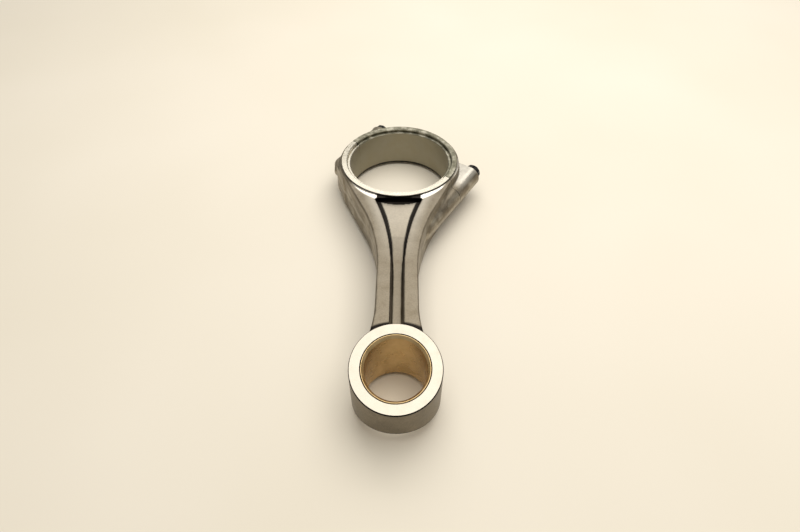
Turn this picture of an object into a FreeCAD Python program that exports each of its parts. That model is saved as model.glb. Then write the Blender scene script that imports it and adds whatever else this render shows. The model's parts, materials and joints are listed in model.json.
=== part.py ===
"""Connecting rod with an obliquely split, bolted big end and a keystone small end.

Frame: the origin is the centre of the big-end bore, halfway across the rod. +Z runs along
the bores, and +Y points away from the small end. All sizes are in millimetres and degrees.
"""
import FreeCAD, Part
import math
import os
import Sketcher

PARTS_FOLDER = "parts"

# Driving dimensions: alias, value, what it measures.
DIMENSIONS = [
    ("centre_distance", 203.2, "big-end bore centre to small-end bore centre"),
    ("shell_bore_radius", 41.3, "inside of the bearing shells"),
    ("shell_wall", 2.4, "thickness of a bearing shell"),
    ("shell_half_width", 15.8, "half the width of a bearing shell along the bore"),
    ("thrust_radius", 48.4, "outside of the machined side faces of the big end"),
    ("thrust_half_width", 18.1, "half the distance between those side faces"),
    ("ring_radius", 50.4, "outside of the forged big end"),
    ("flange_half_width", 16.3, "half the thickness of the forging along the bores"),
    ("bore_chamfer", 0.6, "edge break of the big-end bore"),
    ("split_angle", 32, "bolt direction, turned from +Y towards +X"),
    ("left_bolt_offset", 50, "left bolt axis to big-end bore centre, along the joint"),
    ("right_bolt_offset", 51, "right bolt axis to big-end bore centre, along the joint"),
    ("left_ear_reach", 57, "outer side of the left bolt boss from the bore centre, along the joint"),
    ("right_ear_reach", 60.2, "outer side of the right bolt boss from there"),
    ("ear_root", 38, "inner end of a bolt boss, inside the ring"),
    ("ear_half_width", 9.2, "half the thickness of a bolt boss, and the radius of its outer side"),
    ("left_seat_height", 42, "left bolt seat above the joint"),
    ("right_seat_height", 33, "right bolt seat above the joint"),
    ("left_boss_depth", 17, "straight part of the left thread boss below the joint"),
    ("left_boss_tip", 26, "end of its cone below the joint"),
    ("left_boss_tip_radius", 3, "radius of that end"),
    ("right_boss_depth", 52, "right thread boss, which runs out into the shank"),
    ("shoulder_half_width", 13, "half the thickness of the shoulder below the left boss"),
    ("thread_radius", 5, "bolt thread, M10"),
    ("thread_run_out", 1, "tapped hole beyond the end of its bolt"),
    ("bolt_hole_radius", 5.2, "bolt hole in the cap"),
    ("bolt_length", 58, "bolt under its flange; both bolts are alike"),
    ("bolt_flange_radius", 7.8, "flange under the bolt head"),
    ("bolt_flange_height", 2, "thickness of that flange"),
    ("bolt_head_radius", 6.9, "corner radius of the twelve-point head"),
    ("bolt_head_height", 7.5, "top of the bolt head above its seat"),
    ("dowel_radius", 5.9, "outside of a locating sleeve"),
    ("dowel_bore_radius", 5.2, "inside of a locating sleeve"),
    ("dowel_half_length", 4, "half the length of a locating sleeve"),
    ("running_clearance", 0.05, "radial play of bolts in threads and of sleeves in the cap"),
    ("tang_width", 5, "locating tang of a bearing shell, along the bore"),
    ("tang_height", 1.2, "how far the tang stands out of the shell"),
    ("tang_length", 4, "how far the tang runs back from the joint"),
    ("tang_play", 0.2, "room around a tang in its notch"),
    ("tang_offset", 10, "tang above the middle plane in the rod, and below it in the cap"),
    ("pin_bore_radius", 19.07, "inside of the bush, for a 38.1 mm pin"),
    ("bush_radius", 21.1, "outside of the bush"),
    ("bush_chamfer", 1.5, "chamfer at both ends of the bush bore"),
    ("small_end_radius", 28.2, "outside of the small end"),
    ("small_end_half_width", 16.75, "half the width of the small end at the pin axis"),
    ("taper_angle", 11.3, "slope of each side face of the small end"),
    ("waist_half", 14.6, "half the shank where its sides are parallel"),
    ("waist_top", 122, "where the shank starts to flare towards the big end"),
    ("waist_bottom", 155, "where the shank starts to flare towards the small end"),
    ("upper_flare_radius", 150, "shank side curve towards the big end"),
    ("upper_flare_end", 55, "where that curve turns into a straight line to the ring"),
    ("lower_flare_radius", 90, "shank side curve towards the small end"),
    ("ring_joint_half", 45.3, "half the shank where its sides touch the ring"),
    ("ring_joint_height", 21.6, "distance of that place below the big-end centre"),
    ("shank_bottom", 190, "lower end of the shank outline, inside the small end"),
    ("pocket_half", 4.4, "half the pocket of the I-beam at its narrow part"),
    ("pocket_top", 48.7, "upper end of the pocket, just outside the side faces"),
    ("pocket_bend", 125, "where the pocket starts to widen"),
    ("pocket_flare_radius", 210, "curve of the widening pocket"),
    ("pocket_draft", 6, "slope of the pocket walls"),
    ("web_half", 6.5, "half the web between the two pockets"),
    ("ramp_height", 12.2, "height of the pocket floor where it meets the ring"),
    ("ramp_start", 82, "where the pocket floor starts to rise"),
    ("ramp_half_span", 19, "half the width of that rise, which ends inside the flanges"),
    ("flange_rounding", 1.2, "edge radius of the shank flanges"),
]

LONG = 200  # farther than any part of the rod reaches from a bore axis

FULL_TURN = 2 * math.pi
HOUSING_RADIUS = "Sheet.shell_bore_radius + Sheet.shell_wall"
HALVES = {"rod": -1, "cap": 1}
SIDES = {"left": -1, "right": 1}

# Shoulder below the left boss: corners along the joint and above it.
LEFT_SHOULDER = [(-44, -8), (-48, -15), (-49, -24), (-44.5, -30), (-27.5, -43), (-20, -38)]


def make_sheet(doc):
    """Write the driving dimensions into the spreadsheet and return it."""
    sheet = doc.addObject("Spreadsheet::Sheet", "Sheet")
    for row, (alias, value, meaning) in enumerate(DIMENSIONS, start=1):
        sheet.set(f"A{row}", meaning)
        sheet.set(f"B{row}", str(value))
        sheet.setAlias(f"B{row}", alias)
    doc.recompute()
    return sheet


def make_body(doc, label):
    """Return a new body with the given node name."""
    body = doc.addObject("PartDesign::Body", label)
    body.Label = label
    return body


def origin_plane(body, role):
    """Return one of the three origin planes of a body."""
    return next(plane for plane in body.Origin.OriginFeatures if plane.Role == role)


def new_sketch(body, name, role="XY_Plane"):
    """Return a sketch on one of the body's own origin planes."""
    sketch = body.newObject("Sketcher::SketchObject", name)
    sketch.AttachmentSupport = (origin_plane(body, role), [""])
    sketch.MapMode = "FlatFace"
    return sketch


def joint_plan_sketch(body, name):
    """Return a sketch in the XY plane with x along the joint and y along the bolts."""
    sketch = new_sketch(body, name)
    turn = FreeCAD.Rotation(FreeCAD.Vector(0, 0, 1), -1)
    sketch.AttachmentOffset = FreeCAD.Placement(FreeCAD.Vector(), turn)
    sketch.setExpression("AttachmentOffset.Rotation.Angle", "-Sheet.split_angle")
    return sketch


def across_bolts_sketch(body, name, height):
    """Return a sketch square to the bolts, at a height above the joint.

    Its x axis runs along the joint and its y axis along the bores.
    """
    sketch = new_sketch(body, name, "XZ_Plane")
    turn = FreeCAD.Rotation(FreeCAD.Vector(0, 1, 0), -1)
    sketch.AttachmentOffset = FreeCAD.Placement(FreeCAD.Vector(), turn)
    sketch.setExpression("AttachmentOffset.Rotation.Angle", "-Sheet.split_angle")
    sketch.setExpression("AttachmentOffset.Base.x", f"{height} * sin(Sheet.split_angle)")
    sketch.setExpression("AttachmentOffset.Base.z", f"-{height} * cos(Sheet.split_angle)")
    return sketch


def constrain(sketch, kind, references, present, expression):
    """Add a dimensional constraint with its present value, then bind it to the spreadsheet."""
    index = sketch.addConstraint(Sketcher.Constraint(kind, *references, present))
    name = f"{kind}{index}"
    sketch.renameConstraint(index, name)
    sketch.setExpression(f"Constraints.{name}", expression)


def place_point(sketch, geometry, point, x_expression, y_expression):
    """Fix a point of the sketch by its distances from the sketch origin."""
    place = sketch.getPoint(geometry, point)
    constrain(sketch, "DistanceX", (-1, 1, geometry, point), place.x, x_expression)
    constrain(sketch, "DistanceY", (-1, 1, geometry, point), place.y, y_expression)


def add_polygon(sketch, corners):
    """Draw a closed polygon through corners, each a pair of expressions."""
    count = len(corners)
    guesses = []
    for step in range(count):
        angle = FULL_TURN * step / count
        guesses.append(FreeCAD.Vector(math.cos(angle), math.sin(angle), 0))
    first = sketch.GeometryCount
    for step in range(count):
        line = Part.LineSegment(guesses[step], guesses[(step + 1) % count])
        sketch.addGeometry(line, False)
    for step, (x_expression, y_expression) in enumerate(corners):
        following = first + (step + 1) % count
        sketch.addConstraint(Sketcher.Constraint("Coincident", first + step, 2, following, 1))
        place_point(sketch, first + step, 1, x_expression, y_expression)


def add_circle(sketch, radius, y_expression=None):
    """Draw a circle of the given radius on the sketch's y axis."""
    circle = Part.Circle(FreeCAD.Vector(0, 0, 0), FreeCAD.Vector(0, 0, 1), 1)
    geometry = sketch.addGeometry(circle, False)
    constrain(sketch, "Radius", (geometry,), 1, radius)
    if y_expression is None:
        sketch.addConstraint(Sketcher.Constraint("Coincident", geometry, 3, -1, 1))
    else:
        place_point(sketch, geometry, 3, "0", y_expression)


def pad_both_ways(body, sketch, name, half_length):
    """Pad a sketch equally to both sides of its plane."""
    pad = body.newObject("PartDesign::Pad", name)
    pad.Profile = sketch
    pad.SideType = "Symmetric"
    pad.setExpression("Length", f"2 * ({half_length})")
    sketch.Visibility = False
    return pad


def cut_both_ways(body, sketch, name):
    """Cut a sketch through everything to both sides of its plane."""
    pocket = body.newObject("PartDesign::Pocket", name)
    pocket.Profile = sketch
    pocket.SideType = "Symmetric"
    pocket.Type = "Length"
    pocket.Length = 2 * LONG
    return pocket


def turn_profile(body, kind, sketch, name):
    """Revolve or groove a profile about its first construction line."""
    feature = body.newObject(f"PartDesign::{kind}", name)
    feature.Profile = sketch
    feature.ReferenceAxis = (sketch, ["Axis0"])
    feature.Angle = 360
    return feature


def bolt_line_profile(body, name, label, steps, offset=None):
    """Draw a stepped half profile about an axis along a bolt, by default the bolt's own.

    label is left or right. steps are (radius, height) corners from the bottom of the axis
    to its top, with heights measured from the joint. The axis itself closes the profile.
    """
    sketch = joint_plan_sketch(body, name)
    side = SIDES[label]
    if offset is None:
        offset = f"Sheet.{label}_bolt_offset"
    axis_x = f"{side} * ({offset})"
    lowest = steps[0][1]
    highest = steps[-1][1]
    corners = [(axis_x, lowest)]
    corners += [(f"{side} * ({offset} + {radius})", height) for radius, height in steps]
    corners.append((axis_x, highest))
    add_polygon(sketch, corners)
    axis = Part.LineSegment(FreeCAD.Vector(0, -1, 0), FreeCAD.Vector(0, 1, 0))
    geometry = sketch.addGeometry(axis, True)
    place_point(sketch, geometry, 1, axis_x, "-1")
    place_point(sketch, geometry, 2, axis_x, "1")
    return sketch


def round_edges(body, name, kind, size, chosen):
    """Fillet or chamfer the edges of the body's tip that pass the chosen test."""
    body.Document.recompute()
    base = body.Tip
    edges = [f"Edge{i}" for i, edge in enumerate(base.Shape.Edges, start=1) if chosen(edge)]
    feature = body.newObject(f"PartDesign::{kind}", name)
    feature.Base = (base, edges)
    feature.setExpression("Radius" if kind == "Fillet" else "Size", size)
    return feature


def is_round_edge(edge, radius, height):
    """Tell whether an edge is an arc of this radius, centred on Z, at this height."""
    if not isinstance(edge.Curve, Part.Circle):
        return False
    centre = edge.Curve.Center
    centred = math.hypot(centre.x, centre.y) < 0.01
    return centred and abs(edge.Curve.Radius - radius) < 0.01 and abs(abs(centre.z) - height) < 0.01


def lies_at_height(edge, height):
    """Tell whether a whole edge lies at this height above or below the middle plane."""
    box = edge.BoundBox
    return box.ZLength < 0.01 and abs(abs(box.ZMin) - height) < 0.01


def add_ring(body):
    """Add the forged ring of the big end and its raised side faces."""
    for name, radius, half in (
        ("forged_ring", "Sheet.ring_radius", "Sheet.flange_half_width"),
        ("thrust_faces", "Sheet.thrust_radius", "Sheet.thrust_half_width"),
    ):
        sketch = new_sketch(body, f"{name}_outline")
        add_circle(sketch, radius)
        pad_both_ways(body, sketch, name, half)


def boss_axis(label):
    """Return how far the axis of a boss's round side is from the bore centre."""
    return f"(Sheet.{label}_ear_reach - Sheet.ear_half_width)"


def add_boss(body, name, label, steps, corners):
    """Add a bolt boss: a round outer side, and a flat web that joins it to the ring.

    steps are the (radius, height) profile of the round side, and corners are the outline of
    the web along the joint and above it.
    """
    profile = bolt_line_profile(body, f"{name}_profile", label, steps, boss_axis(label))
    turn_profile(body, "Revolution", profile, name)
    web = joint_plan_sketch(body, f"{name}_web_outline")
    add_polygon(web, corners)
    pad_both_ways(body, web, f"{name}_web", "Sheet.ear_half_width")


def cut_bore(body, name, radius, y_expression=None):
    """Cut a round hole along Z right through the body."""
    sketch = new_sketch(body, f"{name}_outline")
    add_circle(sketch, radius, y_expression)
    cut_both_ways(body, sketch, name)


def cut_beyond_joint(body, half):
    """Cut away what lies on the other side of the joint."""
    other_side = joint_plan_sketch(body, "joint_outline")
    far = -half * LONG
    corners = [(f"{-LONG}", "0"), (f"{LONG}", "0"), (f"{LONG}", f"{far}"), (f"{-LONG}", f"{far}")]
    add_polygon(other_side, corners)
    cut_both_ways(body, other_side, "joint_cut")


def tang_sketch(body, name, half, play):
    """Draw a shell tang in plan, at the left end of its half and clear of the left sleeve."""
    sketch = joint_plan_sketch(body, name)
    sketch.setExpression("AttachmentOffset.Base.z", f"{-half} * Sheet.tang_offset")
    inner = "-(Sheet.shell_bore_radius + 0.5 * Sheet.shell_wall)"
    outer = f"-({HOUSING_RADIUS} + Sheet.tang_height + {play})"
    back = f"{half} * (Sheet.tang_length + {play})"
    add_polygon(sketch, [(inner, "0"), (outer, "0"), (outer, back), (inner, back)])
    return sketch


def cut_tang_notch(body, half):
    """Cut the notch that takes the tang of the shell."""
    notch = body.newObject("PartDesign::Pocket", "tang_notch")
    notch.Profile = tang_sketch(body, "tang_notch_outline", half, "Sheet.tang_play")
    notch.SideType = "Symmetric"
    notch.setExpression("Length", "Sheet.tang_width + 2 * Sheet.tang_play")


def bolt_end(label):
    """Return the height of a bolt's end, which is below the joint."""
    return f"(Sheet.{label}_seat_height - Sheet.bolt_length)"


def rod_hole_steps(label):
    """Return the stepped hole of a bolt in the rod, from its bottom up to the joint."""
    thread = "Sheet.thread_radius + Sheet.running_clearance"
    step = "-Sheet.dowel_half_length"
    return [
        (thread, f"{bolt_end(label)} - Sheet.thread_run_out"),
        (thread, step),
        ("Sheet.dowel_radius", step),
        ("Sheet.dowel_radius", "0"),
    ]


def cap_hole_steps(label):
    """Return the stepped hole of a bolt in the cap, from the joint up to its seat."""
    counterbore = "Sheet.dowel_radius + Sheet.running_clearance"
    step = "Sheet.dowel_half_length + Sheet.running_clearance"
    top = f"Sheet.{label}_seat_height + 1"
    return [
        (counterbore, "0"),
        (counterbore, step),
        ("Sheet.bolt_hole_radius", step),
        ("Sheet.bolt_hole_radius", top),
    ]


def cut_bolt_holes(body, steps_of):
    """Cut a stepped hole about each bolt axis."""
    for label in SIDES:
        sketch = bolt_line_profile(body, f"bolt_hole_{label}_profile", label, steps_of(label))
        turn_profile(body, "Groove", sketch, f"bolt_hole_{label}")


def break_bore_edges(body, sheet):
    """Chamfer both ends of the big-end bore."""
    housing = sheet.shell_bore_radius + sheet.shell_wall
    round_edges(body, "bore_edge", "Chamfer", "Sheet.bore_chamfer",
                lambda edge: is_round_edge(edge, housing, sheet.thrust_half_width))


def add_flare(sketch, sheet, side, radius, half, belly, top, bottom):
    """Draw one side curve of the shank or of its pocket, and return it with its ends.

    It is an arc that runs from the height top down to bottom and is nearest the centre
    line at the height belly. All sizes are aliases, and heights are measured downwards.
    """
    size = getattr(sheet, radius)
    centre = FreeCAD.Vector(side * (getattr(sheet, half) + size), -getattr(sheet, belly), 0)
    rises = [math.asin((-getattr(sheet, end) - centre.y) / size) for end in (bottom, top)]
    first, last = rises if side < 0 else (math.pi - rises[1], math.pi - rises[0])
    circle = Part.Circle(centre, FreeCAD.Vector(0, 0, 1), size)
    arc = sketch.addGeometry(Part.ArcOfCircle(circle, first, last), False)
    upper, lower = (1, 2) if side > 0 else (2, 1)
    constrain(sketch, "Radius", (arc,), size, f"Sheet.{radius}")
    place_point(sketch, arc, 3, f"{side} * (Sheet.{half} + Sheet.{radius})", f"-Sheet.{belly}")
    for point, end in ((upper, top), (lower, bottom)):
        height = sketch.getPoint(arc, point).y
        constrain(sketch, "DistanceY", (-1, 1, arc, point), height, f"-Sheet.{end}")
    return (arc, upper), (arc, lower)


def run_line(sketch, sheet, start, side, half, depth):
    """Draw a line from a point of the sketch to a corner, and return that corner.

    half and depth are the aliases of the corner's distances from the rod's centre line and
    below the big-end centre.
    """
    corner = FreeCAD.Vector(side * getattr(sheet, half), -getattr(sheet, depth), 0)
    line = sketch.addGeometry(Part.LineSegment(sketch.getPoint(*start), corner), False)
    sketch.addConstraint(Sketcher.Constraint("Coincident", line, 1, *start))
    place_point(sketch, line, 2, f"{side} * Sheet.{half}", f"-Sheet.{depth}")
    return line, 2


def join_points(sketch, start, end):
    """Draw a line between two points of the sketch, each a geometry and a point number."""
    line = Part.LineSegment(sketch.getPoint(*start), sketch.getPoint(*end))
    geometry = sketch.addGeometry(line, False)
    sketch.addConstraint(Sketcher.Constraint("Coincident", geometry, 1, *start))
    sketch.addConstraint(Sketcher.Constraint("Coincident", geometry, 2, *end))
    return geometry


def draw_shank_outline(body, sheet):
    """Return the outline of the shank: a parallel waist that flares towards both ends."""
    sketch = new_sketch(body, "shank_outline")
    top_corners = []
    bottom_corners = []
    for side in SIDES.values():
        upper = ("upper_flare_radius", "waist_half", "waist_top", "upper_flare_end", "waist_top")
        lower = ("lower_flare_radius", "waist_half", "waist_bottom", "waist_bottom", "shank_bottom")
        flare_top, waist_top = add_flare(sketch, sheet, side, *upper)
        waist_bottom, corner = add_flare(sketch, sheet, side, *lower)
        join_points(sketch, waist_top, waist_bottom)
        top_corners.append(run_line(sketch, sheet, flare_top, side, "ring_joint_half", "ring_joint_height"))
        bottom_corners.append(corner)
    join_points(sketch, *top_corners)
    join_points(sketch, *bottom_corners)
    return sketch


def draw_pocket_outline(body, sheet):
    """Return the outline of the pocket: parallel sides that flare towards the big end."""
    sketch = new_sketch(body, "pocket_outline")
    sketch.setExpression("AttachmentOffset.Base.z", "Sheet.flange_half_width")
    top_corners = []
    bottom_corners = []
    for side in SIDES.values():
        flare = ("pocket_flare_radius", "pocket_half", "pocket_bend", "pocket_top", "pocket_bend")
        top, bend = add_flare(sketch, sheet, side, *flare)
        top_corners.append(top)
        bottom_corners.append(run_line(sketch, sheet, bend, side, "pocket_half", "shank_bottom"))
    join_points(sketch, *top_corners)
    join_points(sketch, *bottom_corners)
    return sketch


def add_shank(body, sheet):
    """Add the shank as a plain bar with rounded edges."""
    outline = draw_shank_outline(body, sheet)
    pad_both_ways(body, outline, "shank", "Sheet.flange_half_width")
    round_edges(body, "shank_rounding", "Fillet", "Sheet.flange_rounding",
                lambda edge: lies_at_height(edge, sheet.flange_half_width))


def cut_pockets(body, sheet):
    """Cut the pockets of the I-beam into both sides of the shank."""
    pocket = body.newObject("PartDesign::Pocket", "upper_pocket")
    pocket.Profile = draw_pocket_outline(body, sheet)
    pocket.setExpression("Length", "Sheet.flange_half_width - Sheet.web_half")
    pocket.setExpression("TaperAngle", "-Sheet.pocket_draft")
    lower = body.newObject("PartDesign::Mirrored", "lower_pocket")
    lower.Originals = [pocket]
    lower.MirrorPlane = (origin_plane(body, "XY_Plane"), [""])
    body.Tip = lower


def add_floor_ramp(body):
    """Raise the pocket floors where they run up to the ring."""
    sketch = new_sketch(body, "floor_ramp_outline", "YZ_Plane")
    start = "-Sheet.ramp_start"
    crest = "-Sheet.pocket_top"
    root = "-Sheet.shell_bore_radius"
    web = "Sheet.web_half"
    height = "Sheet.ramp_height"
    upper = [(start, web), (crest, height), (root, height)]
    lower = [(x_expression, f"-{y_expression}") for x_expression, y_expression in reversed(upper)]
    add_polygon(sketch, upper + lower)
    pad_both_ways(body, sketch, "floor_ramp", "Sheet.ramp_half_span")


def add_small_end(body):
    """Add the small end, wide towards the shank and narrow at its outer side."""
    sketch = new_sketch(body, "small_end_outline")
    add_circle(sketch, "Sheet.small_end_radius", "-Sheet.centre_distance")
    tallest = "Sheet.small_end_half_width + Sheet.small_end_radius * tan(Sheet.taper_angle)"
    pad_both_ways(body, sketch, "small_end", tallest)
    cut_taper(body)


def cut_taper(body):
    """Cut both sloping side faces of the small end, across the rod."""
    reach = "1.5 * Sheet.small_end_radius"
    rise = f"{reach} * tan(Sheet.taper_angle)"
    outer = f"-Sheet.centre_distance - {reach}"
    inner = f"-Sheet.centre_distance + {reach}"
    low = f"(Sheet.small_end_half_width - {rise})"
    high = f"(Sheet.small_end_half_width + {rise})"
    for label, side in (("upper", 1), ("lower", -1)):
        sketch = new_sketch(body, f"{label}_taper_outline", "YZ_Plane")
        corners = [(outer, f"{side} * {low}"), (inner, f"{side} * {high}"), (outer, f"{side} * {high}")]
        add_polygon(sketch, corners)
        cut_both_ways(body, sketch, f"{label}_taper")


def add_thread_bosses(body):
    """Add both thread bosses: the left one ends in a shoulder, the right one in the shank."""
    root = "Sheet.ear_root"
    radius = "Sheet.ear_half_width"
    foot = "-Sheet.left_boss_depth"
    left_steps = [("Sheet.left_boss_tip_radius", "-Sheet.left_boss_tip"), (radius, foot), (radius, "0")]
    left_edge = f"-{boss_axis('left')}"
    left_web = [(f"-{root}", "0"), (left_edge, "0"), (left_edge, foot)]
    left_web += [(str(along), str(above)) for along, above in LEFT_SHOULDER[3:]]
    add_boss(body, "left_boss", "left", left_steps, left_web)
    end = "-Sheet.right_boss_depth"
    right_edge = boss_axis("right")
    right_web = [(root, "0"), (right_edge, "0"), (right_edge, f"0.7 * {end}"), (root, foot)]
    add_boss(body, "right_boss", "right", [(radius, end), (radius, "0")], right_web)
    shoulder = joint_plan_sketch(body, "left_shoulder_outline")
    add_polygon(shoulder, [(str(along), str(above)) for along, above in LEFT_SHOULDER])
    pad_both_ways(body, shoulder, "left_shoulder", "Sheet.shoulder_half_width")


def make_rod(doc, sheet):
    """Forging: shank, small end, rod half of the big end and its thread bosses."""
    body = make_body(doc, "rod_body")
    add_shank(body, sheet)
    add_ring(body)
    cut_pockets(body, sheet)
    add_floor_ramp(body)
    add_thread_bosses(body)
    add_small_end(body)
    cut_bore(body, "housing_bore", HOUSING_RADIUS)
    cut_beyond_joint(body, HALVES["rod"])
    break_bore_edges(body, sheet)
    cut_bore(body, "bush_seat", "Sheet.bush_radius", "-Sheet.centre_distance")
    cut_bolt_holes(body, rod_hole_steps)
    cut_tang_notch(body, HALVES["rod"])
    return body


def make_cap(doc, sheet):
    """Cap: the other half of the big end, with an ear and a seat for each bolt."""
    body = make_body(doc, "bearing_cap")
    add_ring(body)
    for label, side in SIDES.items():
        seat = f"Sheet.{label}_seat_height"
        steps = [("Sheet.ear_half_width", "0"), ("Sheet.ear_half_width", seat)]
        inner = f"{side} * Sheet.ear_root"
        outer = f"{side} * {boss_axis(label)}"
        web = [(inner, "0"), (outer, "0"), (outer, seat), (inner, seat)]
        add_boss(body, f"{label}_ear", label, steps, web)
    cut_bore(body, "housing_bore", HOUSING_RADIUS)
    cut_beyond_joint(body, HALVES["cap"])
    break_bore_edges(body, sheet)
    cut_bolt_holes(body, cap_hole_steps)
    cut_tang_notch(body, HALVES["cap"])
    return body


def make_shell(doc, label, half):
    """Half bearing shell with a locating tang at the joint."""
    body = make_body(doc, f"bearing_shell_{label}")
    back = new_sketch(body, "shell_back_outline")
    add_circle(back, HOUSING_RADIUS)
    pad_both_ways(body, back, "shell_back", "Sheet.shell_half_width")
    tang = tang_sketch(body, "tang_outline", half, "0")
    pad_both_ways(body, tang, "tang", "0.5 * Sheet.tang_width")
    cut_bore(body, "shell_bore", "Sheet.shell_bore_radius")
    cut_beyond_joint(body, half)
    return body


def make_bush(doc):
    """Bronze bush, flush with the sloping faces of the small end."""
    body = make_body(doc, "small_end_bush")
    outside = new_sketch(body, "bush_outline")
    add_circle(outside, "Sheet.bush_radius", "-Sheet.centre_distance")
    tallest = "Sheet.small_end_half_width + Sheet.bush_radius * tan(Sheet.taper_angle)"
    pad_both_ways(body, outside, "bush", tallest)
    cut_taper(body)
    cut_bore(body, "pin_bore", "Sheet.pin_bore_radius", "-Sheet.centre_distance")
    round_edges(body, "pin_bore_chamfer", "Chamfer", "Sheet.bush_chamfer",
                lambda edge: is_bore_end(edge, body))
    return body


def is_bore_end(edge, body):
    """Tell whether an edge is the inner rim at either end of the bush."""
    box = edge.BoundBox
    inner_width = 2 * body.Document.Sheet.pin_bore_radius
    return abs(box.XLength - inner_width) < 0.01 and box.YLength > 0.9 * inner_width


def make_bolt(doc, label):
    """Cap bolt with a flange and a twelve-point head."""
    body = make_body(doc, f"cap_bolt_{label}")
    seat = f"Sheet.{label}_seat_height"
    flange_top = f"{seat} + Sheet.bolt_flange_height"
    steps = [
        ("Sheet.thread_radius", bolt_end(label)),
        ("Sheet.thread_radius", seat),
        ("Sheet.bolt_flange_radius", seat),
        ("Sheet.bolt_flange_radius", flange_top),
    ]
    profile = bolt_line_profile(body, "shank_profile", label, steps)
    turn_profile(body, "Revolution", profile, "shank_and_flange")
    add_head(body, label)
    return body


def add_head(body, label):
    """Add the twelve-point head as two hexagons turned by 30 degrees."""
    for name, turn in (("head_hexagon", 0), ("head_hexagon_turned", 30)):
        sketch = across_bolts_sketch(body, f"{name}_outline", f"Sheet.{label}_seat_height")
        angles = [turn + 60 * corner for corner in range(6)]
        corners = [
            (f"{SIDES[label]} * Sheet.{label}_bolt_offset + Sheet.bolt_head_radius * cos({angle})",
             f"Sheet.bolt_head_radius * sin({angle})")
            for angle in angles
        ]
        add_polygon(sketch, corners)
        head = body.newObject("PartDesign::Pad", name)
        head.Profile = sketch
        head.Reversed = True
        head.setExpression("Length", "Sheet.bolt_head_height")


def make_dowel(doc, label):
    """Hollow locating sleeve around a bolt, half in the rod and half in the cap."""
    body = make_body(doc, f"dowel_{label}")
    half = "Sheet.dowel_half_length"
    outside = bolt_line_profile(body, "sleeve_profile", label,
                                [("Sheet.dowel_radius", f"-{half}"), ("Sheet.dowel_radius", half)])
    turn_profile(body, "Revolution", outside, "sleeve")
    inside = bolt_line_profile(body, "sleeve_bore_profile", label,
                               [("Sheet.dowel_bore_radius", f"-{half} - 1"),
                                ("Sheet.dowel_bore_radius", f"{half} + 1")])
    turn_profile(body, "Groove", inside, "sleeve_bore")
    return body


def check_document(doc, bodies):
    """Stop if a feature failed or a body is not one valid solid."""
    for item in doc.Objects:
        if "Invalid" in item.State or "Error" in item.State:
            raise RuntimeError(f"{item.Label} failed: {item.State}")
    for body in bodies:
        shape = body.Shape
        if shape.isNull() or not shape.isValid() or len(shape.Solids) != 1:
            raise RuntimeError(f"{body.Label} is not one valid solid")
        box = shape.BoundBox
        print(f"{body.Label}: {shape.Volume:.0f} mm3, {box.XLength:.1f} x {box.YLength:.1f}"
              f" x {box.ZLength:.1f} mm")


def main():
    doc = FreeCAD.newDocument("connecting_rod")
    sheet = make_sheet(doc)
    bodies = [make_rod(doc, sheet), make_cap(doc, sheet), make_bush(doc)]
    bodies += [make_shell(doc, label, half) for label, half in HALVES.items()]
    bodies += [make_bolt(doc, label) for label in SIDES]
    bodies += [make_dowel(doc, label) for label in SIDES]
    doc.recompute()
    check_document(doc, bodies)
    os.makedirs(PARTS_FOLDER, exist_ok=True)
    for body in bodies:
        body.Shape.exportStep(os.path.join(PARTS_FOLDER, f"{body.Label}.step"))


main()
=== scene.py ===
import json
import math

import bmesh
import bpy
import numpy as np
from mathutils import Matrix, Vector

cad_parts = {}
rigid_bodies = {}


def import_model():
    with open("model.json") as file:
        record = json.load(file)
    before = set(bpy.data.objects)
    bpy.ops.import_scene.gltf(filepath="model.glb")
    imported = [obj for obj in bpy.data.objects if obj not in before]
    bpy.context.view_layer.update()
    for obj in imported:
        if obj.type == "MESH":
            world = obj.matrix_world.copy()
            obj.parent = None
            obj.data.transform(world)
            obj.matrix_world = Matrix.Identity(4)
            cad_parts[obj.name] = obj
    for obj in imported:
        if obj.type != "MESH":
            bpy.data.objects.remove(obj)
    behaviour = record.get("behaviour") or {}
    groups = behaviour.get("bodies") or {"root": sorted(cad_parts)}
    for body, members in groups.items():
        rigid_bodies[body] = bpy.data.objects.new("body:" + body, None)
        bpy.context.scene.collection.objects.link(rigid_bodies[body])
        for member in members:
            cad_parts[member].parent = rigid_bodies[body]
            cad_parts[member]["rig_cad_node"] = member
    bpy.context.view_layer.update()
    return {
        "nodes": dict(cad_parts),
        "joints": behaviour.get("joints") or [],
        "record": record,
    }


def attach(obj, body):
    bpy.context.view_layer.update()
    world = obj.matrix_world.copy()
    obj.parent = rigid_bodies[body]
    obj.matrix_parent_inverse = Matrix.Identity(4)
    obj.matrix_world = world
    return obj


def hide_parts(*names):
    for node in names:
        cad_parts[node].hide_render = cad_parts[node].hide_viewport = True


# Connecting rod, lying flat. All sizes are in metres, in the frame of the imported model:
# the big-end bore is at the origin, +Z runs along the bores, +Y away from the small end.
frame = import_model()

MOUNTS = {mount["name"]: mount for mount in frame["record"]["mounts"]}
JOINTS = {joint["name"]: joint for joint in frame["joints"]}
MM = 0.001
UP = Vector((0, 0, 1))

# Directions of the joint between rod and cap: BOLTWARD along the bolts, ALONG the joint line.
BOLTWARD = Vector(JOINTS["cap_lift"]["axis"]).normalized()
ALONG = BOLTWARD.cross(UP)
# Places given as (along the joint, down, along the bolts) turn into the model's frame with this.
TO_MODEL = Matrix((ALONG, -UP, BOLTWARD)).transposed().to_4x4()

# Big end.
SHELL_BORE = MOUNTS["crankpin_bore"]["dims"]["r_mm"] * MM
SHELL_HALF = MOUNTS["crankpin_bore"]["dims"]["length_mm"] * MM / 2
SHELL_WALL = 2.4 * MM
HOUSING = SHELL_BORE + SHELL_WALL
THRUST_HEIGHT = MOUNTS["thrust_face_top"]["pos_m"][2]
THRUST_RADIUS = 48.4 * MM
FLANGE_HEIGHT = 16.3 * MM
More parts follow.
